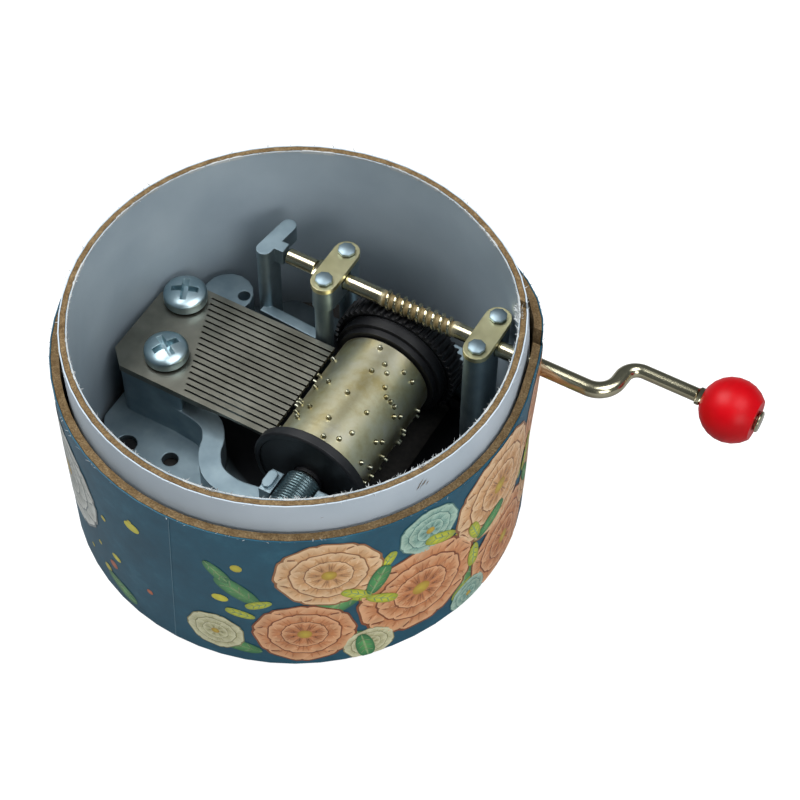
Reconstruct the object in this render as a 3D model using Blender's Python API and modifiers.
"""Hand crank music box in a cardboard tube.

Z is up, the origin is the centre of the face it rests on, and the crank shaft runs along X.
All lengths are in metres.
"""

import math

import bmesh
import bpy
from mathutils import Matrix, Vector

# Clearances shared by all pieces
SEAT_GAP = 0.0003
PAPER_GAP = 0.00006
RUN_GAP = 0.00015
CUT_OVERRUN = 0.001
WELD = 0.000001

# Facets round a turn, by size of piece
TUBE_STEPS = 60
WHEEL_STEPS = 36
WORM_STEPS = 16
ROD_STEPS = 16
KNOB_STEPS = 32
PIN_STEPS = 5
FILLET_STEPS = 4
BULGE_STEPS = 2
PATH_STEPS = 3
SMOOTH_ANGLE = math.radians(35)
WIRE_BEVEL = 5

# Cardboard tubes, and the paper glued to them
OUTER_TUBE_WALL = 0.0009
OUTER_TUBE_HEIGHT = 0.0260
INNER_TUBE_WALL = 0.0006
INNER_TUBE_HEIGHT = 0.0305
PAPER = 0.00015
PAPER_LIFT = 0.0002
MOVEMENT_ROOM = 0.00044
TUBE_FIT = 0.00039
CAP_ROOM = 0.00042
BULGE_REACH = 0.0105
OUTER_BULGE_SHARE = 0.91
BULGE_LAG = math.radians(4.4)
BULGE_WIDTH = math.radians(25)
INNER_SLIT = 0.0008
OUTER_SLIT = 0.0020
SHAFT_HOLE_GAP = 0.0004

# Bottom of the inner tube
COVER_THICKNESS = 0.0005
DISC_THICKNESS = 0.0017
FLOOR_RADIUS_GAP = 0.0003

# Crank shaft, bent from one steel wire
SHAFT_Y = 0.01435
SHAFT_Z = 0.0208
SHAFT_RADIUS = 0.0010
SHAFT_LEFT = -0.0097
WING_X = -0.0054
WING_THICKNESS = 0.0006
WING_REACH = 0.00155
WING_WIDTH = 0.0011
CRANK_STANDOFF = 0.0056
CRANK_LEAN = 0.0005
CRANK_THROW = 0.0054
FIRST_BEND = 0.0028
SECOND_BEND = 0.0020
PIN_RADIUS = 0.00085
PIN_LENGTH = 0.0170
PIN_HEAD_RADIUS = 0.0013
PIN_HEAD_THICKNESS = 0.0004
CRIMP_THICKNESS = 0.0006
CRIMP_REACH = 0.00135
CRIMP_WIDTH = 0.0009

# Knob that turns on the crank pin
KNOB_RADIUS = 0.0039
KNOB_OUTER_CUT = 0.0030
KNOB_INNER_CUT = 0.0036
KNOB_MOUTH = 0.0011

# Worm on the shaft and its wheel on the cylinder
WORM_OUTER = 0.00125
WORM_ROOT = 0.0008
WORM_TURNS = 9
TURNS_BEFORE_WHEEL = 2
THREAD_CREST = 0.00032
THREAD_FOOT = 0.00056
WHEEL_TEETH = 50
MESH_CLEARANCE = 0.00012
TOOTH_CREST = 0.00024
TOOTH_FOOT = 0.00048
WHEEL_WIDTH = 0.0029
HUB_OUTER_RADIUS = 0.0073
HUB_OUTER_WIDTH = 0.0013
HUB_INNER_RADIUS = 0.0067
HUB_INNER_WIDTH = 0.0008
WHEEL_RECESS_DEPTH = 0.0008
WHEEL_RECESS_INNER = 0.0024
WHEEL_RECESS_OUTER = 0.0066
WHEEL_GROOVE_SHIFT = 0.00012
WHEEL_GROOVE_WIDTH = 0.0003
WHEEL_GROOVE_DEPTH = 0.0004
SPIGOT_LENGTH = 0.0018

# Pinned cylinder
CYLINDER_X = 0.0060
CYLINDER_Z = 0.0115
CYLINDER_RADIUS = 0.0061
CYLINDER_WALL = 0.0006
CYLINDER_NEAR = -0.0059
MUSIC_PIN_HEIGHT = 0.0005
MUSIC_PIN_RADIUS = 0.00022
MUSIC_BEATS = 44
SILENT_BEATS = 3
SLOW_WAVES = 3
QUICK_WAVES = 7
SLOW_SHARE = 0.33
QUICK_SHARE = 0.16
HARMONY_STEP = 5
CHORD_EVERY = 4
CHORD_STEPS = (9, 13)

# End flange of the cylinder
FLANGE_RADIUS = 0.0075
FLANGE_WIDTH = 0.0014
FLANGE_RIM = 0.0008
FLANGE_CHAMFER = 0.0002
FLANGE_RECESS = 0.0008
FLANGE_HUB_RADIUS = 0.0019
FLANGE_HUB_PROUD = 0.0003
FLANGE_RIBS = 6
RIB_WIDTH = 0.0005

# Arbor and the bearing screw that holds its near end
ARBOR_RADIUS = 0.0008
ARBOR_IN_SCREW = 0.0018
ARBOR_IN_BOSS = 0.0018
BEARING_RADIUS = 0.0024
BEARING_LENGTH = 0.0046
BEARING_GAP = 0.0004
BEARING_CHAMFER = 0.0003
BEARING_SLOT_WIDTH = 0.0008
BEARING_SLOT_DEPTH = 0.0009

# Comb
COMB_TOP = 0.0131
COMB_THICKNESS = 0.0010
COMB_NEAR = -0.0055
COMB_FAR = 0.0100
COMB_LEFT = -0.0241
COMB_CORNER_NEAR = 0.0021
COMB_CORNER_FAR = 0.0032
TEETH = 18
SLIT_WIDTH = 0.00025
SHORT_ROOT_X = -0.0128
LONG_ROOT_X = -0.0184
TIP_GAP = 0.00012
TIP_THICKNESS = 0.0006
THIN_THICKNESS = 0.0004
THIN_SHARE = 0.45
RELIEF_END_SHARE = 0.85
WEIGHTED_TEETH = 6
WEIGHT_LENGTH = 0.0024
WEIGHT_DEPTH = 0.0014
WEIGHT_SETBACK = 0.0012
WEIGHT_STEP = 0.00012
DAMPED_TEETH = 6
DAMPER_THICKNESS = 0.00014
DAMPER_LENGTH = 0.0030
DAMPER_DROP = 0.0009
DAMPER_TIP_SETBACK = 0.0006

# Comb screws
COMB_SCREW_HEAD_RADIUS = 0.00275
COMB_SCREW_HEAD_HEIGHT = 0.0020
COMB_SCREW_SHANK_RADIUS = 0.00125
COMB_SCREW_SHANK_LENGTH = 0.0068
COMB_SCREW_REAR = (-0.0207, 0.0073)
COMB_SCREW_FRONT = (-0.0178, -0.0014)
COMB_HOLE_GAP = 0.00035

# Bedplate casting
PLATE_THICKNESS = 0.0012
TABLE_LEFT = -0.0230
TABLE_NEAR = -0.0052
TABLE_RIGHT_NEAR = -0.0134
TABLE_RIGHT_FAR = -0.0192
TABLE_FAR = 0.0098
TABLE_EDGE_RADIUS = 0.0004
TABLE_CUT_RADIUS = 0.0008
TABLE_CUT_X = 0.0016
TABLE_CUT_Y = 0.0032
LOBE_CENTRE = (-0.0174, 0.0118)
LOBE_RADIUS = 0.0032
LOBE_HOLE = (-0.0154, 0.0124)
LOBE_HOLE_RADIUS = 0.0008
LOBE_HOLE_DEPTH = 0.0025
ARM_TOP = 0.0090
ARM_WIDTH = 0.0027
ARM_ROOT_INSET = 0.0016
ARM_SHARES = (
    (0.0, 0.0),
    (0.180, 0.052),
    (0.298, 0.170),
    (0.370, 0.422),
    (0.406, 0.704),
    (0.488, 1.0),
    (0.602, 1.133),
    (0.746, 1.148),
    (1.0, 1.0),
)
SADDLE_WIDTH = 0.0078
SADDLE_LENGTH = 0.0032
SADDLE_LIP = 0.0011
SADDLE_SEAT_GAP = 0.0002
LUG_WIDTH = 0.0012
LUG_LENGTH = 0.0026
LUG_HEIGHT = 0.0005
LEDGE_TOP = 0.0120
LEDGE_WIDTH = 0.0014
LEDGE_Y = 0.0120
RAIL_TOP = 0.0120
RAIL_WIDTH = 0.0020
BOSS_RADIUS = 0.0023
BOSS_NEAR = 0.0163
BOSS_LENGTH = 0.0028
OPENING_HALF_WIDTH = 0.0070
OPENING_NEAR = -0.0080
OPENING_FAR = 0.0163
PLATE_FILLET = 0.0016
PLATE_SHARES = (
    (-0.950, -0.300),
    (-0.950, 0.290),
    (-0.763, 0.604),
    (-0.516, 0.818),
    (0.500, 0.818),
    (0.755, 0.588),
    (0.818, 0.159),
    (0.755, -0.477),
    (0.477, -0.655),
    (-0.556, -0.655),
    (-0.800, -0.560),
)
PLATE_HOLE = (-0.0131, -0.0091)
PLATE_HOLE_RADIUS = 0.00105

# Shaft posts, their riveted caps, and the stop at the shaft's end
LEFT_POST_X = -0.0030
RIGHT_POST_X = 0.0178
STUD_SPACING = 0.0054
CAP_THICKNESS = 0.00075
CAP_END_RADIUS = 0.00165
POST_END_RADIUS = 0.0015
POST_HEAD_DEPTH = 0.0032
STUD_RADIUS = 0.0008
STUD_HEAD_RADIUS = 0.0011
STUD_HEAD_HEIGHT = 0.0005
STUD_CROWN_RADIUS = 0.0007
STUD_CROWN_HEIGHT = 0.0002
COLUMN_RADIUS = 0.00115
STOP_TOP = 0.0220
STOP_NEAR = (-0.0123, 0.0130)
STOP_FAR = (-0.0117, 0.0177)
STOP_WIDTH = 0.0020
STOP_BAR_DEPTH = 0.0024
STOP_COLUMN_LENGTH = 0.0016
STOP_LUG_WIDTH = 0.0015
STOP_END_GAP = 0.0003

# Screws that hold the bedplate to the mounting disc
MOUNT_SCREWS = ((-0.0191, -0.0098), LOBE_CENTRE, (0.0150, -0.0100))
MOUNT_SCREW_RADIUS = 0.0012
MOUNT_SCREW_HEAD_RADIUS = 0.0022
MOUNT_SCREW_HEAD_HEIGHT = 0.0012
MOUNT_SCREW_LENGTH = 0.0026
MOUNT_SCREW_GAP = 0.00025

# Worked-out levels and places
MOVEMENT_REACH = math.hypot(COMB_LEFT, COMB_FAR - COMB_CORNER_FAR)
LINING_INNER = MOVEMENT_REACH + MOVEMENT_ROOM
LINING_OUTER = LINING_INNER + PAPER
INNER_BOARD = LINING_OUTER + PAPER_GAP + INNER_TUBE_WALL
INNER_TUBE_RADIUS = INNER_BOARD + PAPER_GAP + PAPER
OUTER_BOARD = INNER_TUBE_RADIUS + TUBE_FIT + OUTER_TUBE_WALL
OUTER_TUBE_RADIUS = OUTER_BOARD + PAPER_GAP + PAPER
FLOOR_RADIUS = LINING_INNER - FLOOR_RADIUS_GAP
DISC_BOTTOM = COVER_THICKNESS + SEAT_GAP
DISC_TOP = DISC_BOTTOM + DISC_THICKNESS
PLATE_BOTTOM = DISC_TOP + SEAT_GAP
PLATE_TOP = PLATE_BOTTOM + PLATE_THICKNESS
COMB_BOTTOM = COMB_TOP - COMB_THICKNESS
TABLE_TOP = COMB_BOTTOM - SEAT_GAP
POST_TOP = SHAFT_Z + SHAFT_RADIUS
CAP_BOTTOM = POST_TOP + RUN_GAP
CAP_TOP = CAP_BOTTOM + CAP_THICKNESS
CAP_REACH = math.hypot(RIGHT_POST_X, SHAFT_Y + STUD_SPACING / 2) + CAP_END_RADIUS
INNER_BULGE = CAP_REACH + CAP_ROOM - LINING_INNER
OUTER_BULGE = INNER_BULGE * OUTER_BULGE_SHARE
BULGE_HEIGHT = CAP_BOTTOM
BULGE_AZIMUTH = math.atan2(SHAFT_Y + STUD_SPACING / 2, RIGHT_POST_X) - BULGE_LAG
PIN_CIRCLE = CYLINDER_RADIUS + MUSIC_PIN_HEIGHT
CENTRE_DISTANCE = SHAFT_Z - CYLINDER_Z
WHEEL_TIP = CENTRE_DISTANCE - WORM_ROOT - MESH_CLEARANCE
WHEEL_ROOT = CENTRE_DISTANCE - WORM_OUTER - MESH_CLEARANCE
WORM_PITCH_RADIUS = (WORM_OUTER + WORM_ROOT) / 2
WHEEL_PITCH_RADIUS = CENTRE_DISTANCE - WORM_PITCH_RADIUS
WORM_LEAD = math.tau * WHEEL_PITCH_RADIUS / WHEEL_TEETH
WHEEL_NEAR = SHAFT_Y - WHEEL_WIDTH / 2
WHEEL_FAR = SHAFT_Y + WHEEL_WIDTH / 2
HUB_NEAR = WHEEL_NEAR - HUB_OUTER_WIDTH - HUB_INNER_WIDTH
CYLINDER_FAR = HUB_NEAR - SEAT_GAP
FLANGE_FAR = CYLINDER_NEAR - SEAT_GAP
FLANGE_NEAR = FLANGE_FAR - FLANGE_WIDTH
BEARING_FAR = FLANGE_NEAR - FLANGE_HUB_PROUD - BEARING_GAP
BEARING_NEAR = BEARING_FAR - BEARING_LENGTH
SADDLE_Y = (BEARING_FAR + BEARING_NEAR) / 2
TIP_REACH = PIN_CIRCLE + TIP_GAP
TIP_X = CYLINDER_X - math.sqrt(TIP_REACH**2 - (COMB_TOP - TIP_THICKNESS - CYLINDER_Z) ** 2)
TOOTH_PITCH = (COMB_FAR - COMB_NEAR) / TEETH
PIN_AXIS_Y = SHAFT_Y + CRANK_THROW
CRANK_X = OUTER_TUBE_RADIUS + CRANK_STANDOFF
PIN_END = CRANK_X + PIN_LENGTH
KNOB_OUTER_X = PIN_END - PIN_HEAD_THICKNESS - RUN_GAP
KNOB_X = KNOB_OUTER_X - KNOB_OUTER_CUT
KNOB_INNER_X = KNOB_X - KNOB_INNER_CUT
BEARING_BORE = ARBOR_RADIUS + RUN_GAP

# Name, colour (linear), metallic, roughness
FINISHES = {
    "kraft_board": ((0.33, 0.21, 0.10), 0.0, 0.9),
    "white_paper": ((0.62, 0.67, 0.78), 0.0, 0.7),
    "printed_paper": ((0.09, 0.22, 0.32), 0.0, 0.45),
    "grey_board": ((0.22, 0.19, 0.16), 0.0, 0.9),
    "cast_zinc": ((0.18, 0.23, 0.27), 0.9, 0.5),
    "comb_steel": ((0.16, 0.155, 0.13), 0.9, 0.4),
    "zinc_plate": ((0.62, 0.70, 0.74), 1.0, 0.3),
    "nickel_wire": ((0.60, 0.56, 0.45), 1.0, 0.2),
    "nickel_cap": ((0.40, 0.38, 0.27), 1.0, 0.35),
    "nickel_cylinder": ((0.52, 0.48, 0.34), 1.0, 0.3),
    "black_plastic": ((0.012, 0.012, 0.016), 0.0, 0.35),
    "solder_lead": ((0.20, 0.20, 0.21), 1.0, 0.6),
    "red_plastic": ((0.60, 0.004, 0.01), 0.0, 0.18),
}


def clear_scene():
    for old in list(bpy.data.objects):
        bpy.data.objects.remove(old, do_unlink=True)


def new_collection(name):
    collection = bpy.data.collections.new(name)
    bpy.context.scene.collection.children.link(collection)
    return collection


clear_scene()
PARTS = new_collection("hand_crank_music_box")
CUTTERS = new_collection("cutters")


def material(name):
    """The named finish as a Principled material, made once."""
    found = bpy.data.materials.get(name)
    if found:
        return found
    colour, metallic, roughness = FINISHES[name]
    made = bpy.data.materials.new(name)
    made.use_nodes = True
    shader = made.node_tree.nodes["Principled BSDF"]
    shader.inputs["Base Color"].default_value = (*colour, 1.0)
    shader.inputs["Metallic"].default_value = metallic
    shader.inputs["Roughness"].default_value = roughness
    made.diffuse_color = (*colour, 1.0)
    return made


def place(name, mesh, finish=None):
    """An object for this mesh: a part where it has a finish, and otherwise a hidden helper."""
    made = bpy.data.objects.new(name, mesh)
    if finish:
        mesh.materials.clear()
        mesh.materials.append(material(finish))
        PARTS.objects.link(made)
        return made
    made.hide_render = True
    made.display_type = "WIRE"
    CUTTERS.objects.link(made)
    return made


def evaluated_mesh(source):
    """A plain mesh of what the object's modifiers or curve make, welded, with faces out."""
    bpy.context.view_layer.update()
    graph = bpy.context.evaluated_depsgraph_get()
    mesh = bpy.data.meshes.new_from_object(source.evaluated_get(graph))
    shape = bmesh.new()
    shape.from_mesh(mesh)
    bmesh.ops.remove_doubles(shape, verts=shape.verts, dist=WELD)
    bmesh.ops.recalc_face_normals(shape, faces=shape.faces)
    shape.to_mesh(mesh)
    shape.free()
    mesh.transform(source.matrix_world)
    return mesh


def smooth(*pieces):
    """Smooth shading on round faces, with sharp edges kept."""
    for piece in pieces:
        piece.data.shade_smooth()
        piece.data.set_sharp_from_angle(angle=SMOOTH_ANGLE)


def combine(target, operation, *tools):
    """Cuts, joins or intersects the target with each tool in turn."""
    for tool in tools:
        step = target.modifiers.new(tool.name, "BOOLEAN")
        step.operation = operation
        step.object = tool
        step.solver = "EXACT"
    return target


def along(axis, origin=(0.0, 0.0, 0.0)):
    """The matrix that turns local Z to this axis and moves to the origin."""
    turns = {
        "X": Matrix.Rotation(math.pi / 2, 4, "Y"),
        "Y": Matrix.Rotation(-math.pi / 2, 4, "X"),
        "Z": Matrix.Identity(4),
    }
    return Matrix.Translation(Vector(origin)) @ turns[axis]


def turned(name, profile, steps, finish=None, axis="Z", origin=(0.0, 0.0, 0.0), closed=False):
    """A turned solid. The profile of (radius, height) runs down its outer side, top to bottom."""
    guide_mesh = bpy.data.meshes.new(name + "_profile")
    count = len(profile)
    edges = [(i, i + 1) for i in range(count - 1)]
    if closed:
        edges.append((count - 1, 0))
    guide_mesh.from_pydata([(r, 0.0, h) for r, h in profile], edges, [])
    guide = place(name + "_guide", guide_mesh)
    screw = guide.modifiers.new("Turn", "SCREW")
    screw.axis = "Z"
    screw.angle = math.tau
    screw.steps = steps
    screw.render_steps = steps
    screw.use_merge_vertices = True
    screw.merge_threshold = WELD
    mesh = evaluated_mesh(guide)
    bpy.data.objects.remove(guide)
    mesh.transform(along(axis, origin))
    made = place(name, mesh, finish)
    smooth(made)
    return made


def rod(name, radius, start, end, steps=ROD_STEPS, finish=None, axis="Z", origin=(0.0, 0.0)):
    """A plain cylinder between two heights on its axis. Origin holds the other two coordinates."""
    at = {
        "X": (0.0, origin[0], origin[1]),
        "Y": (origin[0], 0.0, origin[1]),
        "Z": (origin[0], origin[1], 0.0),
    }[axis]
    profile = [(0.0, end), (radius, end), (radius, start), (0.0, start)]
    return turned(name, profile, steps, finish, axis, at)


def block(name, low, high, finish=None):
    """A box between two corners."""
    shape = bmesh.new()
    bmesh.ops.create_cube(shape, size=1)
    size = Vector(high) - Vector(low)
    middle = (Vector(high) + Vector(low)) / 2
    bmesh.ops.scale(shape, vec=size, verts=shape.verts)
    bmesh.ops.translate(shape, vec=middle, verts=shape.verts)
    mesh = bpy.data.meshes.new(name)
    shape.to_mesh(mesh)
    shape.free()
    return place(name, mesh, finish)


def slab(name, outlines, bottom, top, finish=None, turn=None):
    """A flat outline, with any holes as further outlines, extruded between two heights."""
    curve = bpy.data.curves.new(name + "_outline", "CURVE")
    curve.dimensions = "2D"
    curve.fill_mode = "BOTH"
    curve.extrude = (top - bottom) / 2
    for outline in outlines:
        spline = curve.splines.new("POLY")
        spline.points.add(len(outline) - 1)
        for point, (x, y) in zip(spline.points, outline):
            point.co = (x, y, 0.0, 1.0)
        spline.use_cyclic_u = True
    guide = place(name + "_guide", curve)
    guide.location.z = (top + bottom) / 2
    mesh = evaluated_mesh(guide)
    bpy.data.objects.remove(guide)
    if turn:
        mesh.transform(turn)
    return place(name, mesh, finish)


def circle(centre, radius, steps=ROD_STEPS):
    return [
        (centre[0] + radius * math.cos(a), centre[1] + radius * math.sin(a))
        for a in (math.tau * i / steps for i in range(steps))
    ]


def obround(first, second, radius, steps=ROD_STEPS):
    """Two half circles of one radius, joined by straight sides."""
    heading = math.atan2(second[1] - first[1], second[0] - first[0])
    outline = []
    for centre, start in ((second, heading - math.pi / 2), (first, heading + math.pi / 2)):
        for i in range(steps // 2 + 1):
            a = start + math.pi * i / (steps // 2)
            outline.append((centre[0] + radius * math.cos(a), centre[1] + radius * math.sin(a)))
    return outline


def fillet(before, here, after, radius):
    """The points of an arc that rounds the corner between two straight runs."""
    here = Vector(here)
    back = (Vector(before) - here).normalized()
    ahead = (Vector(after) - here).normalized()
    half = back.angle(ahead) / 2
    centre = here + (back + ahead).normalized() * radius / math.sin(half)
    first = here + back * radius / math.tan(half) - centre
    last = here + ahead * radius / math.tan(half) - centre
    sweep = first.angle_signed(last)
    turns = (Matrix.Rotation(-sweep * k / FILLET_STEPS, 2) for k in range(FILLET_STEPS + 1))
    return [tuple(centre + turn @ first) for turn in turns]


def rounded(corners, radius):
    """The polygon with each corner replaced by an arc of this radius, or of its own third value."""
    outline = []
    for i, corner in enumerate(corners):
        size = corner[2] if len(corner) > 2 else radius
        after = corners[(i + 1) % len(corners)]
        outline += fillet(corners[i - 1][:2], corner[:2], after[:2], size)
    return outline


def smooth_path(points):
    """A Catmull-Rom curve through the points."""
    ends = [2 * Vector(points[0]) - Vector(points[1])]
    ends += [Vector(p) for p in points]
    ends.append(2 * Vector(points[-1]) - Vector(points[-2]))
    path = []
    for i in range(1, len(ends) - 2):
        a, b, c, d = ends[i - 1 : i + 3]
        for k in range(PATH_STEPS):
            t = k / PATH_STEPS
            cubic = -a + 3 * b - 3 * c + d
            square = 2 * a - 5 * b + 4 * c - d
            path.append((2 * b + (c - a) * t + square * t**2 + cubic * t**3) / 2)
    path.append(ends[-2])
    return path


def ribbon(points, width):
    """The outline of a band of one width along a smooth path."""
    path = smooth_path(points)
    left, right = [], []
    for i, here in enumerate(path):
        heading = (path[min(i + 1, len(path) - 1)] - path[max(i - 1, 0)]).normalized()
        side = Vector((-heading.y, heading.x)) * width / 2
        left.append(tuple(here + side))
        right.append(tuple(here - side))
    return left + right[::-1]


def bulge(mesh, reach, fades_up):
    """Presses a tube's wall outward where the movement's corner leans on it."""
    for vertex in mesh.vertices:
        x, y, z = vertex.co
        off_centre = (math.atan2(y, x) - BULGE_AZIMUTH) / BULGE_WIDTH
        if abs(off_centre) >= 1:
            continue
        low = min(max((z - BULGE_HEIGHT) / BULGE_REACH, -1.0), 1.0)
        height_share = math.cos(low * math.pi / 2) if z < BULGE_HEIGHT or fades_up else 1.0
        push = reach * math.cos(off_centre * math.pi / 2) ** 2 * height_share
        radius = math.hypot(x, y)
        vertex.co.x += x / radius * push
        vertex.co.y += y / radius * push


def split_alike(mesh):
    """Splits each side face along the same diagonal, so that nested walls keep their gap."""
    shape = bmesh.new()
    shape.from_mesh(mesh)
    for face in list(shape.faces):
        middle = face.calc_center_median().z
        low = [v for v in face.verts if v.co.z < middle - WELD]
        high = [v for v in face.verts if v.co.z > middle + WELD]
        if low and high:
            first = min(low, key=lambda v: math.atan2(v.co.y, v.co.x))
            last = max(high, key=lambda v: math.atan2(v.co.y, v.co.x))
            bmesh.utils.face_split(face, first, last)
    shape.to_mesh(mesh)
    shape.free()


def tube(name, outer, wall, bottom, top, finish, reach, fades_up, slit):
    """An open tube with its bulge, its hole for the crank shaft and the slit down to it."""
    rings = (
        BULGE_HEIGHT + BULGE_REACH * k / BULGE_STEPS for k in range(-BULGE_STEPS, BULGE_STEPS)
    )
    levels = sorted({bottom, top, *rings})
    levels = [z for z in levels if bottom <= z <= top]
    inner = outer - wall
    profile = [(outer, z) for z in reversed(levels)] + [(inner, z) for z in levels]
    made = turned(name, profile, TUBE_STEPS, finish, closed=True)
    bulge(made.data, reach, fades_up)
    split_alike(made.data)
    hole_radius = SHAFT_RADIUS + SHAFT_HOLE_GAP
    reach_x = OUTER_TUBE_RADIUS + OUTER_BULGE + CUT_OVERRUN
    hole = rod(name + "_hole", hole_radius, 0, reach_x, axis="X", origin=(SHAFT_Y, SHAFT_Z))
    low = (0.0, SHAFT_Y - slit / 2, SHAFT_Z)
    high = (reach_x, SHAFT_Y + slit / 2, INNER_TUBE_HEIGHT + CUT_OVERRUN)
    combine(made, "DIFFERENCE", hole, block(name + "_slit", low, high))
    smooth(made)
    return made


def make_tubes():
    outer = (OUTER_BULGE, False, OUTER_SLIT)
    inner = (INNER_BULGE, True, INNER_SLIT)
    tube("outer_tube", OUTER_BOARD, OUTER_TUBE_WALL, 0.0, OUTER_TUBE_HEIGHT, "kraft_board", *outer)
    tube("inner_tube", INNER_BOARD, INNER_TUBE_WALL, 0.0, INNER_TUBE_HEIGHT, "kraft_board", *inner)
    wrap = (OUTER_TUBE_RADIUS, PAPER, PAPER_LIFT, OUTER_TUBE_HEIGHT, "printed_paper")
    tube("printed_wrap", *wrap, *outer)
    sleeve = (INNER_TUBE_RADIUS, PAPER, PAPER_LIFT, INNER_TUBE_HEIGHT, "white_paper")
    tube("sleeve_paper", *sleeve, *inner)
    lining = (LINING_OUTER, PAPER, PAPER_LIFT, INNER_TUBE_HEIGHT, "white_paper")
    tube("inner_lining", *lining, *inner)


def make_floor():
    """The cover paper on the rest face, and the disc that carries the movement."""
    rod("bottom_cover", FLOOR_RADIUS, 0.0, COVER_THICKNESS, WHEEL_STEPS, "white_paper")
    disc = rod("mounting_disc", FLOOR_RADIUS, DISC_BOTTOM, DISC_TOP, WHEEL_STEPS, "grey_board")
    for number, centre in enumerate(MOUNT_SCREWS):
        name = f"mounting_disc_hole_{number}"
        combine(disc, "DIFFERENCE", screw_shape(name, centre, MOUNT_SCREW_GAP))


def screw_shape(name, centre, grow=0.0):
    """A countersunk screw, or the hole that it goes through when it is grown by a gap."""
    base = DISC_BOTTOM - grow
    top = DISC_BOTTOM + MOUNT_SCREW_LENGTH + grow
    head = MOUNT_SCREW_HEAD_RADIUS + grow
    shank = MOUNT_SCREW_RADIUS + grow
    neck = base + MOUNT_SCREW_HEAD_HEIGHT + grow
    profile = [(0.0, top), (shank, top), (shank, neck), (head, base + grow), (head, base), (0.0, base)]
    if not grow:
        del profile[4]
    return turned(name, profile, ROD_STEPS, origin=(*centre, 0.0))


def make_mounting_screws():
    for name, centre in zip(("left", "rear", "right"), MOUNT_SCREWS):
        screw = screw_shape("mounting_screw_" + name, centre)
        CUTTERS.objects.unlink(screw)
        PARTS.objects.link(screw)
        screw.hide_render = False
        screw.display_type = "TEXTURED"
        screw.data.materials.append(material("zinc_plate"))


def stud_places(post_x):
    return [(post_x, SHAFT_Y - STUD_SPACING / 2), (post_x, SHAFT_Y + STUD_SPACING / 2)]


def shaft_groove(radius):
    """The outline of the groove that the shaft lies in, open at the top, for a cutter along X."""
    top = SHAFT_Z + POST_HEAD_DEPTH
    outline = [(-top, SHAFT_Y - radius), (-top, SHAFT_Y + radius)]
    for i in range(ROD_STEPS // 2 + 1):
        a = math.pi / 2 - math.pi * i / (ROD_STEPS // 2)
        outline.append((-SHAFT_Z + radius * math.cos(a), SHAFT_Y + radius * math.sin(a)))
    return outline


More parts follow.
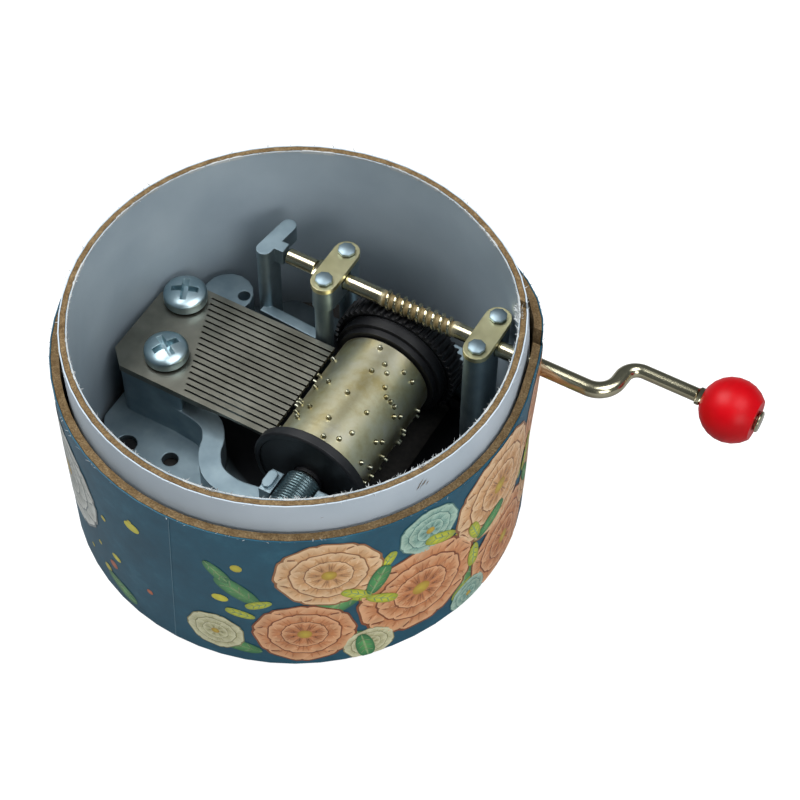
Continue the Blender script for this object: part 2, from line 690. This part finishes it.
def make_bedplate():
    corners = [(FLOOR_RADIUS * x, FLOOR_RADIUS * y) for x, y in PLATE_SHARES]
    near, far = OPENING_NEAR, OPENING_FAR
    low, high = CYLINDER_X - OPENING_HALF_WIDTH, CYLINDER_X + OPENING_HALF_WIDTH
    opening = rounded([(low, near), (high, near), (high, far), (low, far)], PLATE_FILLET)
    holes = [circle(PLATE_HOLE, PLATE_HOLE_RADIUS), opening]
    outline = rounded(corners, PLATE_FILLET)
    plate = slab("bedplate", [outline, *holes], PLATE_BOTTOM, PLATE_TOP, "cast_zinc")

    inside = PLATE_BOTTOM + PLATE_THICKNESS / 2
    table_outline = rounded(
        [
            (TABLE_LEFT, TABLE_NEAR),
            (TABLE_RIGHT_NEAR, TABLE_NEAR, TABLE_EDGE_RADIUS),
            (TABLE_RIGHT_FAR, TABLE_FAR, TABLE_EDGE_RADIUS),
            (TABLE_LEFT + TABLE_CUT_X, TABLE_FAR, TABLE_CUT_RADIUS),
            (TABLE_LEFT, TABLE_FAR - TABLE_CUT_Y, TABLE_CUT_RADIUS),
        ],
        PLATE_FILLET,
    )
    table = slab("bedplate_table", [table_outline], inside, TABLE_TOP)
    lobe = rod("bedplate_lobe", LOBE_RADIUS, inside, TABLE_TOP, origin=LOBE_CENTRE)

    arm_x, arm_y = TABLE_RIGHT_NEAR - ARM_ROOT_INSET, TABLE_NEAR + ARM_WIDTH / 2
    run_x, run_y = CYLINDER_X - SADDLE_WIDTH / 4 - arm_x, SADDLE_Y - arm_y
    arm_points = [(arm_x + run_x * across, arm_y + run_y * down) for across, down in ARM_SHARES]
    arm = slab("bedplate_arm", [ribbon(arm_points, ARM_WIDTH)], inside, ARM_TOP)

    seat = BEARING_RADIUS + SADDLE_SEAT_GAP
    saddle_low = (CYLINDER_X - SADDLE_WIDTH / 2, SADDLE_Y - SADDLE_LENGTH / 2, inside)
    saddle_top = CYLINDER_Z + SADDLE_LIP
    saddle_high = (CYLINDER_X + SADDLE_WIDTH / 2, SADDLE_Y + SADDLE_LENGTH / 2, saddle_top)
    saddle = block("bedplate_saddle", saddle_low, saddle_high)
    lugs = []
    for side in (-1, 1):
        middle = CYLINDER_X + side * (SADDLE_WIDTH / 2 - LUG_WIDTH / 2)
        half = (LUG_LENGTH - LUG_WIDTH) / 2
        ends = [(middle, SADDLE_Y - half), (middle, SADDLE_Y + half)]
        outline = obround(*ends, LUG_WIDTH / 2, ROD_STEPS // 2)
        lug_top = saddle_top + LUG_HEIGHT
        lugs.append(slab(f"bedplate_lug_{side + 1}", [outline], CYLINDER_Z, lug_top))
    seat_cut = rod(
        "bedplate_seat",
        seat,
        SADDLE_Y - SADDLE_LENGTH,
        SADDLE_Y + SADDLE_LENGTH,
        axis="Y",
        origin=(CYLINDER_X, CYLINDER_Z),
    )

    near_stud, far_stud = stud_places(LEFT_POST_X)
    near_column = (LEFT_POST_X, WHEEL_NEAR - SEAT_GAP - COLUMN_RADIUS)
    far_column = (LEFT_POST_X, WHEEL_FAR + SEAT_GAP + COLUMN_RADIUS)
    ledge_points = [(STOP_NEAR[0], LEDGE_Y), (near_column[0], near_column[1])]
    ledge = slab("bedplate_ledge", [ribbon(ledge_points, LEDGE_WIDTH)], inside, LEDGE_TOP)
    near_post = rod("bedplate_near_post", COLUMN_RADIUS, inside, POST_TOP, origin=near_column)
    far_post = rod("bedplate_far_post", COLUMN_RADIUS, inside, POST_TOP, origin=far_column)
    head_outline = obround(near_stud, far_stud, POST_END_RADIUS)
    head = slab("bedplate_left_head", [head_outline], POST_TOP - POST_HEAD_DEPTH, POST_TOP)

    right_near, right_far = stud_places(RIGHT_POST_X)
    right_outline = obround(right_near, right_far, POST_END_RADIUS)
    right_head = slab("bedplate_right_head", [right_outline], POST_TOP - POST_HEAD_DEPTH, POST_TOP)
    right_foot = obround(right_near, (RIGHT_POST_X, SHAFT_Y), POST_END_RADIUS)
    right_post = slab("bedplate_right_post", [right_foot], inside, POST_TOP - POST_HEAD_DEPTH / 2)

    boss_mid = BOSS_NEAR + BOSS_LENGTH / 2
    rail_points = [
        far_column,
        (CYLINDER_X, boss_mid),
        (CYLINDER_X + BOSS_RADIUS * 2, boss_mid),
        (RIGHT_POST_X - POST_END_RADIUS * 2, SHAFT_Y + STUD_SPACING / 2),
        (RIGHT_POST_X, SHAFT_Y - POST_END_RADIUS),
    ]
    rail = slab("bedplate_rail", [ribbon(rail_points, RAIL_WIDTH)], inside, RAIL_TOP)
    boss_end = BOSS_NEAR + BOSS_LENGTH
    arbor_at = (CYLINDER_X, CYLINDER_Z)
    boss = rod("bedplate_boss", BOSS_RADIUS, BOSS_NEAR, boss_end, axis="Y", origin=arbor_at)

    stop_outline = obround(STOP_NEAR, STOP_FAR, STOP_WIDTH / 2)
    bar = slab("bedplate_stop_bar", [stop_outline], STOP_TOP - STOP_BAR_DEPTH, STOP_TOP)
    column_end = (STOP_NEAR[0], STOP_NEAR[1] + STOP_COLUMN_LENGTH)
    column_outline = obround(STOP_NEAR, column_end, STOP_WIDTH / 2)
    column_top = STOP_TOP - STOP_BAR_DEPTH / 2
    column = slab("bedplate_stop_column", [column_outline], inside, column_top)
    lug_end = SHAFT_LEFT - STOP_END_GAP
    lug_start = (STOP_NEAR[0] + STOP_FAR[0]) / 2
    lug_low = (lug_start, SHAFT_Y - STOP_LUG_WIDTH / 2, STOP_TOP - STOP_BAR_DEPTH)
    lug = block("bedplate_stop_lug", lug_low, (lug_end, SHAFT_Y + STOP_LUG_WIDTH / 2, STOP_TOP))

    joined = [table, lobe, arm, saddle, *lugs, ledge, near_post, far_post, head]
    joined += [right_head, right_post, rail, boss, bar, column, lug]
    combine(plate, "UNION", *joined)

    studs = []
    for number, centre in enumerate(stud_places(LEFT_POST_X) + stud_places(RIGHT_POST_X)):
        studs.append(stud(f"bedplate_stud_{number}", centre))
    combine(plate, "UNION", *studs)

    groove = slab(
        "bedplate_groove",
        [shaft_groove(SHAFT_RADIUS + RUN_GAP)],
        LEFT_POST_X - 2 * POST_END_RADIUS,
        RIGHT_POST_X + 2 * POST_END_RADIUS,
        turn=along("X"),
    )
    bore = rod(
        "bedplate_bore",
        BEARING_BORE,
        BOSS_NEAR - CUT_OVERRUN,
        BOSS_NEAR + ARBOR_IN_BOSS + 2 * SEAT_GAP,
        axis="Y",
        origin=(CYLINDER_X, CYLINDER_Z),
    )
    cuts = [groove, seat_cut, bore]
    for number, centre in enumerate((COMB_SCREW_REAR, COMB_SCREW_FRONT)):
        radius = COMB_SCREW_SHANK_RADIUS + RUN_GAP
        hole_end = COMB_TOP - COMB_SCREW_SHANK_LENGTH
        name = f"comb_screw_hole_{number}"
        cuts.append(rod(name, radius, hole_end, TABLE_TOP + CUT_OVERRUN, origin=centre))
    hole_low = TABLE_TOP - LOBE_HOLE_DEPTH
    hole_high = TABLE_TOP + CUT_OVERRUN
    cuts.append(rod("lobe_hole", LOBE_HOLE_RADIUS, hole_low, hole_high, origin=LOBE_HOLE))
    for number, centre in enumerate(MOUNT_SCREWS):
        radius = MOUNT_SCREW_RADIUS + RUN_GAP
        top = DISC_BOTTOM + MOUNT_SCREW_LENGTH + SEAT_GAP
        if centre != LOBE_CENTRE:
            top = PLATE_TOP + CUT_OVERRUN
        bottom = PLATE_BOTTOM - CUT_OVERRUN
        cuts.append(rod(f"mount_hole_{number}", radius, bottom, top, origin=centre))
    combine(plate, "DIFFERENCE", *cuts)
    smooth(plate)


def stud(name, centre):
    """A post's rivet: its shank through the cap, and its spread head over the cap."""
    head_base = CAP_TOP + SEAT_GAP / 2
    crown = head_base + STUD_HEAD_HEIGHT
    profile = [
        (0.0, crown),
        (STUD_CROWN_RADIUS, crown),
        (STUD_HEAD_RADIUS, crown - STUD_CROWN_HEIGHT),
        (STUD_HEAD_RADIUS, head_base),
        (STUD_RADIUS, head_base),
        (STUD_RADIUS, POST_TOP - POST_HEAD_DEPTH / 2),
        (0.0, POST_TOP - POST_HEAD_DEPTH / 2),
    ]
    return turned(name, profile, ROD_STEPS // 2, origin=(*centre, 0.0))


def make_caps():
    """The plates that close the posts over the shaft."""
    for name, post_x in (("shaft_cap_left", LEFT_POST_X), ("shaft_cap_right", RIGHT_POST_X)):
        studs = stud_places(post_x)
        holes = [circle(centre, STUD_RADIUS + RUN_GAP, ROD_STEPS // 2) for centre in studs]
        outline = obround(*studs, CAP_END_RADIUS)
        smooth(slab(name, [outline, *holes], CAP_BOTTOM, CAP_TOP, "nickel_cap"))


def tooth_centre(number):
    return COMB_NEAR + (number + 0.5) * TOOTH_PITCH


def root_x(y):
    """The slits' ends lie on a slanted line, so that the far teeth are the longest."""
    share = (y - COMB_NEAR) / (COMB_FAR - COMB_NEAR)
    return SHORT_ROOT_X + (LONG_ROOT_X - SHORT_ROOT_X) * share


def make_comb():
    outline = [
        (COMB_LEFT + COMB_CORNER_FAR, COMB_FAR),
        (COMB_LEFT, COMB_FAR - COMB_CORNER_FAR),
        (COMB_LEFT, COMB_NEAR + COMB_CORNER_NEAR),
        (COMB_LEFT + COMB_CORNER_NEAR, COMB_NEAR),
        (TIP_X, COMB_NEAR),
    ]
    for number in range(1, TEETH):
        y = COMB_NEAR + number * TOOTH_PITCH
        low, high = y - SLIT_WIDTH / 2, y + SLIT_WIDTH / 2
        outline += [(TIP_X, low), (root_x(y), low), (root_x(y), high), (TIP_X, high)]
    outline.append((TIP_X, COMB_FAR))
    hole = COMB_SCREW_SHANK_RADIUS + COMB_HOLE_GAP
    holes = [circle(centre, hole) for centre in (COMB_SCREW_REAR, COMB_SCREW_FRONT)]
    comb = slab("comb", [outline, *holes], COMB_BOTTOM, COMB_TOP, "comb_steel")

    span = TIP_X - SHORT_ROOT_X
    thin_x = TIP_X - span * THIN_SHARE
    end_x = TIP_X - span * RELIEF_END_SHARE
    below = COMB_BOTTOM - CUT_OVERRUN
    hollow = [
        (TIP_X + CUT_OVERRUN, below),
        (TIP_X + CUT_OVERRUN, COMB_TOP - TIP_THICKNESS),
        (TIP_X, COMB_TOP - TIP_THICKNESS),
        (thin_x, COMB_TOP - THIN_THICKNESS),
        (end_x, COMB_BOTTOM),
        (end_x, below),
    ]
    side = CUT_OVERRUN
    turn = Matrix.Rotation(math.pi / 2, 4, "X")
    cutter = slab("comb_hollow", [hollow], -COMB_FAR - side, -COMB_NEAR + side, turn=turn)
    combine(comb, "DIFFERENCE", cutter)


def underside(x):
    """Height of a tooth's underside at this x, by the same straight runs as the hollow."""
    span = TIP_X - SHORT_ROOT_X
    thin_x = TIP_X - span * THIN_SHARE
    end_x = TIP_X - span * RELIEF_END_SHARE
    if x > thin_x:
        share = (TIP_X - x) / (TIP_X - thin_x)
        return COMB_TOP - TIP_THICKNESS + (TIP_THICKNESS - THIN_THICKNESS) * share
    share = min((thin_x - x) / (thin_x - end_x), 1)
    return COMB_TOP - THIN_THICKNESS - (COMB_THICKNESS - THIN_THICKNESS) * share


def make_tuning_weights():
    """Lead under the tips of the longest teeth, longer towards the lowest note."""
    for k in range(WEIGHTED_TEETH):
        y = tooth_centre(TEETH - 1 - k)
        half = (TOOTH_PITCH - SLIT_WIDTH) / 2
        right = TIP_X - WEIGHT_SETBACK
        left = right - WEIGHT_LENGTH + k * WEIGHT_STEP
        top = min(underside(left), underside(right)) - SEAT_GAP
        low = (left, y - half, top - WEIGHT_DEPTH)
        block(f"tuning_weight_{k + 1}", low, (right, y + half, top), "solder_lead")


def make_dampers():
    """Thin spring wires under the next teeth, each curving up to just behind its tip."""
    thick = DAMPER_THICKNESS
    turn = Matrix.Rotation(math.pi / 2, 4, "X")
    for k in range(DAMPED_TEETH):
        y = tooth_centre(TEETH - 1 - WEIGHTED_TEETH - k)
        right = TIP_X - DAMPER_TIP_SETBACK
        left = right - DAMPER_LENGTH
        middle = (left + right) / 2
        top = min(underside(left), underside(right)) - SEAT_GAP
        low = top - DAMPER_DROP
        wire = [
            (left, top),
            (left, top - thick),
            (middle, low),
            (right, top - thick),
            (right, top),
            (middle, low + thick),
        ]
        slab(f"damper_{k + 1}", [wire], -y - thick, -y + thick, "comb_steel", turn)


def make_comb_screws():
    """Pan-head screws that clamp the comb to its table."""
    radius = COMB_SCREW_HEAD_RADIUS
    base = COMB_TOP + SEAT_GAP
    wall = COMB_SCREW_HEAD_HEIGHT / 2
    dome = COMB_SCREW_HEAD_HEIGHT - wall
    arc = [math.pi / 2 * i / FILLET_STEPS for i in range(FILLET_STEPS + 1)]
    profile = [(radius * math.sin(a), base + wall + dome * math.cos(a)) for a in arc]
    end = base - COMB_SCREW_SHANK_LENGTH
    shank = COMB_SCREW_SHANK_RADIUS
    profile += [(radius, base), (shank, base), (shank, end), (0.0, end)]
    for name, centre in (("comb_screw_rear", COMB_SCREW_REAR), ("comb_screw_front", COMB_SCREW_FRONT)):
        turned(name, profile, ROD_STEPS, "zinc_plate", origin=(*centre, 0.0))


def music_pins():
    """(track, turn share) of each pin: a rising and falling line with chords under it."""
    places = set()
    beats = MUSIC_BEATS + SILENT_BEATS
    for beat in range(MUSIC_BEATS):
        phase = math.tau * beat / MUSIC_BEATS
        swing = SLOW_SHARE * math.sin(phase * SLOW_WAVES) + QUICK_SHARE * math.sin(phase * QUICK_WAVES)
        track = round((TEETH - 1) * (1 + 2 * swing) / 2)
        steps = [0]
        if beat % 2:
            steps.append(HARMONY_STEP)
        if beat % CHORD_EVERY == 0:
            steps += CHORD_STEPS
        places |= {((track + step) % TEETH, beat / beats) for step in steps}
    return sorted(places)


def make_cylinder():
    """The hollow cylinder with its music pins standing out of it."""
    outer, inner = CYLINDER_RADIUS, CYLINDER_RADIUS - CYLINDER_WALL
    near, far = CYLINDER_NEAR, CYLINDER_FAR
    profile = [(outer, far), (outer, near), (inner, near), (inner, far)]
    axis_at = (CYLINDER_X, 0.0, CYLINDER_Z)
    shell = turned("music_cylinder", profile, WHEEL_STEPS, "nickel_cylinder", "Y", axis_at, closed=True)
    pins = bmesh.new()
    for track, share in music_pins():
        turn = Matrix.Rotation(math.tau * share, 4, "Y")
        middle = CYLINDER_RADIUS + MUSIC_PIN_HEIGHT / 2 - CYLINDER_WALL / 4
        length = MUSIC_PIN_HEIGHT + CYLINDER_WALL / 2
        at = Matrix.Translation((CYLINDER_X, tooth_centre(track), CYLINDER_Z)) @ turn
        bmesh.ops.create_cone(
            pins,
            cap_ends=True,
            cap_tris=False,
            segments=PIN_STEPS,
            radius1=MUSIC_PIN_RADIUS,
            radius2=MUSIC_PIN_RADIUS,
            depth=length,
            matrix=at @ Matrix.Translation((0.0, 0.0, middle)),
        )
    mesh = bpy.data.meshes.new("music_pins")
    pins.to_mesh(mesh)
    pins.free()
    combine(shell, "UNION", place("music_pins", mesh))


def wheel_outline():
    """The worm wheel's teeth in its own plane, with a gap centred under the worm."""
    outline = []
    step = math.tau / WHEEL_TEETH
    for number in range(WHEEL_TEETH):
        middle = (number + 0.5) * step
        crest = TOOTH_CREST / 2 / WHEEL_TIP
        foot = TOOTH_FOOT / 2 / WHEEL_ROOT
        corners = ((-foot, WHEEL_ROOT), (-crest, WHEEL_TIP), (crest, WHEEL_TIP), (foot, WHEEL_ROOT))
        for offset, radius in corners:
            a = middle + offset + math.pi / 2
            outline.append((radius * math.cos(a), radius * math.sin(a)))
    return outline


def make_worm_wheel():
    """The wheel that the worm turns, with the stepped hub that plugs the cylinder's far end."""
    half = WHEEL_WIDTH / 2
    wheel = slab("worm_wheel", [wheel_outline()], -half, half, "black_plastic")
    slant = math.atan(WORM_LEAD / (math.tau * WORM_PITCH_RADIUS))
    twist = half * math.tan(slant) / WHEEL_PITCH_RADIUS
    for vertex in wheel.data.vertices:
        turn = Matrix.Rotation(math.copysign(twist, vertex.co.z), 3, "Z")
        vertex.co = turn @ vertex.co
    wheel.data.transform(Matrix.Translation((CYLINDER_X, SHAFT_Y, CYLINDER_Z)) @ along("Y"))

    plug = CYLINDER_RADIUS - CYLINDER_WALL - SEAT_GAP
    step_y = WHEEL_NEAR - HUB_OUTER_WIDTH
    profile = [
        (0.0, SHAFT_Y),
        (HUB_OUTER_RADIUS, SHAFT_Y),
        (HUB_OUTER_RADIUS, step_y),
        (HUB_INNER_RADIUS, step_y),
        (HUB_INNER_RADIUS, HUB_NEAR),
        (plug, HUB_NEAR),
        (plug, HUB_NEAR - SPIGOT_LENGTH),
        (0.0, HUB_NEAR - SPIGOT_LENGTH),
    ]
    at = (CYLINDER_X, 0.0, CYLINDER_Z)
    hub = turned("worm_wheel_hub", profile, WHEEL_STEPS, axis="Y", origin=at)
    floor = WHEEL_FAR - WHEEL_RECESS_DEPTH
    over = WHEEL_FAR + CUT_OVERRUN
    ring = [
        (WHEEL_RECESS_OUTER, over),
        (WHEEL_RECESS_OUTER, floor),
        (WHEEL_RECESS_INNER, floor),
        (WHEEL_RECESS_INNER, over),
    ]
    recess = turned("worm_wheel_recess", ring, WHEEL_STEPS, axis="Y", origin=at, closed=True)
    groove_inner = HUB_OUTER_RADIUS + WHEEL_GROOVE_SHIFT
    groove_outer = groove_inner + WHEEL_GROOVE_WIDTH
    groove_floor = WHEEL_NEAR + WHEEL_GROOVE_DEPTH
    before = WHEEL_NEAR - CUT_OVERRUN
    ring = [
        (groove_outer, groove_floor),
        (groove_outer, before),
        (groove_inner, before),
        (groove_inner, groove_floor),
    ]
    groove = turned("worm_wheel_groove", ring, WHEEL_STEPS, axis="Y", origin=at, closed=True)
    bore = rod(
        "worm_wheel_bore",
        BEARING_BORE,
        HUB_NEAR - SPIGOT_LENGTH - CUT_OVERRUN,
        over,
        axis="Y",
        origin=(CYLINDER_X, CYLINDER_Z),
    )
    combine(wheel, "DIFFERENCE", groove)
    combine(wheel, "UNION", hub)
    combine(wheel, "DIFFERENCE", recess, bore)
    smooth(wheel)


def make_end_flange():
    """The ribbed plastic cap that plugs the cylinder's near end."""
    plug = CYLINDER_RADIUS - CYLINDER_WALL - SEAT_GAP
    chamfer = FLANGE_CHAMFER
    floor = FLANGE_NEAR + FLANGE_RECESS
    hub_face = FLANGE_NEAR - FLANGE_HUB_PROUD
    profile = [
        (0.0, FLANGE_FAR + SPIGOT_LENGTH),
        (plug, FLANGE_FAR + SPIGOT_LENGTH),
        (plug, FLANGE_FAR),
        (FLANGE_RADIUS - chamfer, FLANGE_FAR),
        (FLANGE_RADIUS, FLANGE_FAR - chamfer),
        (FLANGE_RADIUS, FLANGE_NEAR + chamfer),
        (FLANGE_RADIUS - chamfer, FLANGE_NEAR),
        (FLANGE_RADIUS - FLANGE_RIM, FLANGE_NEAR),
        (FLANGE_RADIUS - FLANGE_RIM, floor),
        (FLANGE_HUB_RADIUS, floor),
        (FLANGE_HUB_RADIUS, hub_face),
        (0.0, hub_face),
    ]
    at = (CYLINDER_X, 0.0, CYLINDER_Z)
    flange = turned("end_flange", profile, WHEEL_STEPS, "black_plastic", "Y", at)
    shape = bmesh.new()
    reach = FLANGE_RADIUS - FLANGE_RIM / 2
    for number in range(FLANGE_RIBS):
        turn = Matrix.Rotation(math.tau * (number + 0.5) / FLANGE_RIBS, 4, "Y")
        low = (-RIB_WIDTH / 2, FLANGE_NEAR + chamfer, 0.0)
        rib = block(f"rib_{number}", low, (RIB_WIDTH / 2, floor + chamfer, reach))
        rib.data.transform(Matrix.Translation(at) @ turn)
        shape.from_mesh(rib.data)
        bpy.data.objects.remove(rib)
    mesh = bpy.data.meshes.new("flange_ribs")
    shape.to_mesh(mesh)
    shape.free()
    ribs = place("flange_ribs", mesh)
    over = FLANGE_FAR + SPIGOT_LENGTH + CUT_OVERRUN
    low_end = hub_face - CUT_OVERRUN
    bore = rod("end_flange_bore", BEARING_BORE, low_end, over, axis="Y", origin=(CYLINDER_X, CYLINDER_Z))
    combine(flange, "UNION", ribs)
    flange.modifiers[-1].use_self = True
    combine(flange, "DIFFERENCE", bore)
    smooth(flange)


def make_arbor_and_bearing():
    """The steel rod that the cylinder turns on, and the slotted screw that holds its near end."""
    start = BEARING_FAR - ARBOR_IN_SCREW
    end = BOSS_NEAR + ARBOR_IN_BOSS
    centre = (CYLINDER_X, CYLINDER_Z)
    rod("cylinder_arbor", ARBOR_RADIUS, start, end, finish="nickel_wire", axis="Y", origin=centre)
    radius, chamfer = BEARING_RADIUS, BEARING_CHAMFER
    profile = [
        (0.0, BEARING_FAR),
        (radius - chamfer, BEARING_FAR),
        (radius, BEARING_FAR - chamfer),
        (radius, BEARING_NEAR + chamfer),
        (radius - chamfer, BEARING_NEAR),
        (0.0, BEARING_NEAR),
    ]
    at = (CYLINDER_X, 0.0, CYLINDER_Z)
    bearing = turned("bearing_screw", profile, ROD_STEPS, "zinc_plate", "Y", at)
    bore_end = start - SEAT_GAP
    over = BEARING_FAR + CUT_OVERRUN
    bore = rod("bearing_bore", BEARING_BORE, bore_end, over, axis="Y", origin=centre)
    half = BEARING_SLOT_WIDTH / 2
    low = (CYLINDER_X - 2 * radius, BEARING_NEAR - CUT_OVERRUN, CYLINDER_Z - half)
    high = (CYLINDER_X + 2 * radius, BEARING_NEAR + BEARING_SLOT_DEPTH, CYLINDER_Z + half)
    combine(bearing, "DIFFERENCE", bore, block("bearing_slot", low, high))
    smooth(bearing)


def worm_thread():
    """One pitch of the worm's outline, screwed round the shaft and closed at both ends."""
    half = WORM_LEAD / 2
    outline = [
        (-half, WORM_ROOT),
        (-THREAD_FOOT / 2, WORM_ROOT),
        (-THREAD_CREST / 2, WORM_OUTER),
        (THREAD_CREST / 2, WORM_OUTER),
        (THREAD_FOOT / 2, WORM_ROOT),
        (half, WORM_ROOT),
    ]
    start = CYLINDER_X - TURNS_BEFORE_WHEEL * WORM_LEAD
    shape = bmesh.new()
    line = [shape.verts.new((start + x, 0.0, -r)) for x, r in outline]
    edges = [shape.edges.new(pair) for pair in zip(line, line[1:])]
    steps = WORM_TURNS * WORM_STEPS
    bmesh.ops.spin(
        shape,
        geom=line + edges,
        cent=(0.0, 0.0, 0.0),
        axis=(1.0, 0.0, 0.0),
        dvec=(WORM_LEAD / WORM_STEPS, 0.0, 0.0),
        angle=math.tau * WORM_TURNS,
        steps=steps,
        use_duplicate=False,
    )
    bmesh.ops.remove_doubles(shape, verts=shape.verts, dist=WELD)
    open_edges = [edge for edge in shape.edges if edge.is_boundary]
    middle = start + WORM_LEAD * WORM_TURNS / 2
    for side in (-1, 1):
        rim = [e for e in open_edges if (e.verts[0].co.x - middle) * side > 0]
        centre_x = sum(e.verts[0].co.x for e in rim) / len(rim)
        centre = shape.verts.new((centre_x, 0.0, 0.0))
        for edge in rim:
            shape.faces.new((*edge.verts, centre))
    bmesh.ops.recalc_face_normals(shape, faces=shape.faces)
    mesh = bpy.data.meshes.new("worm")
    shape.to_mesh(mesh)
    shape.free()
    mesh.transform(Matrix.Translation((0.0, SHAFT_Y, SHAFT_Z)))
    return place("worm", mesh)


def crank_route(start_x):
    """(x, y, radius) along the wire from the worm to the knob, with its two bends as arcs."""
    start = (start_x, SHAFT_Y)
    first_corner = (CRANK_X, SHAFT_Y)
    second_corner = (CRANK_X + CRANK_LEAN, PIN_AXIS_Y)
    end = (PIN_END - PIN_HEAD_THICKNESS / 2, PIN_AXIS_Y)
    route = [(*start, SHAFT_RADIUS)]
    route += [(*at, SHAFT_RADIUS) for at in fillet(start, first_corner, second_corner, FIRST_BEND)]
    for k, at in enumerate(fillet(first_corner, second_corner, end, SECOND_BEND)):
        thinning = (SHAFT_RADIUS - PIN_RADIUS) * k / FILLET_STEPS
        route.append((*at, SHAFT_RADIUS - thinning))
    return [*route, (*end, PIN_RADIUS)]


def make_crank_shaft():
    """Shaft, worm, crank arm and knob pin, all of one wire, with its staked wings."""
    worm_start = CYLINDER_X - TURNS_BEFORE_WHEEL * WORM_LEAD
    worm_end = worm_start + WORM_TURNS * WORM_LEAD
    shaft_at = (SHAFT_Y, SHAFT_Z)
    finish = "nickel_wire"
    shaft = rod("crank_shaft", SHAFT_RADIUS, SHAFT_LEFT, worm_start, ROD_STEPS, finish, "X", shaft_at)
    route = crank_route(worm_end)
    curve = bpy.data.curves.new("crank_wire", "CURVE")
    curve.dimensions = "3D"
    curve.bevel_depth = SHAFT_RADIUS
    curve.bevel_resolution = WIRE_BEVEL
    curve.use_fill_caps = True
    spline = curve.splines.new("POLY")
    spline.points.add(len(route) - 1)
    for point, (x, y, radius) in zip(spline.points, route):
        point.co = (x, y, SHAFT_Z, 1.0)
        point.radius = radius / SHAFT_RADIUS
    guide = place("crank_guide", curve)
    wire = place("crank_bent", evaluated_mesh(guide))
    bpy.data.objects.remove(guide)
    pin_at = (PIN_AXIS_Y, SHAFT_Z)
    head = rod("pin_head", PIN_HEAD_RADIUS, PIN_END - PIN_HEAD_THICKNESS, PIN_END, axis="X", origin=pin_at)
    crimp_x = KNOB_INNER_X - RUN_GAP
    crimp = block(
        "pin_crimp",
        (crimp_x - CRIMP_THICKNESS, PIN_AXIS_Y - CRIMP_REACH, SHAFT_Z - CRIMP_WIDTH / 2),
        (crimp_x, PIN_AXIS_Y + CRIMP_REACH, SHAFT_Z + CRIMP_WIDTH / 2),
    )
    wings = block(
        "shaft_wings",
        (WING_X - WING_THICKNESS / 2, SHAFT_Y - WING_REACH, SHAFT_Z - WING_WIDTH / 2),
        (WING_X + WING_THICKNESS / 2, SHAFT_Y + WING_REACH, SHAFT_Z + WING_WIDTH / 2),
    )
    combine(shaft, "UNION", wings, worm_thread(), wire, head, crimp)
    smooth(shaft)


def make_knob():
    """The bead on the crank pin: a ball cut flat at both ends, with a bore and soft edges."""
    top = math.asin(KNOB_OUTER_CUT / KNOB_RADIUS)
    bottom = -math.asin(KNOB_INNER_CUT / KNOB_RADIUS)
    count = 2 * FILLET_STEPS
    arc = [top + (bottom - top) * i / count for i in range(count + 1)]
    bore = PIN_RADIUS + RUN_GAP
    lead_in = KNOB_MOUTH - PIN_RADIUS
    mouth = bore + lead_in
    profile = [(bore, KNOB_OUTER_CUT - lead_in), (mouth, KNOB_OUTER_CUT)]
    profile += [(KNOB_RADIUS * math.cos(a), KNOB_RADIUS * math.sin(a)) for a in arc]
    profile += [(mouth, -KNOB_INNER_CUT), (bore, lead_in - KNOB_INNER_CUT)]
    at = (KNOB_X, PIN_AXIS_Y, SHAFT_Z)
    turned("crank_knob", profile, KNOB_STEPS, "red_plastic", "X", at, closed=True)


make_tubes()
make_floor()
make_mounting_screws()
make_bedplate()
make_caps()
make_comb()
make_tuning_weights()
make_dampers()
make_comb_screws()
make_cylinder()
make_worm_wheel()
make_end_flange()
make_arbor_and_bearing()
make_crank_shaft()
make_knob()
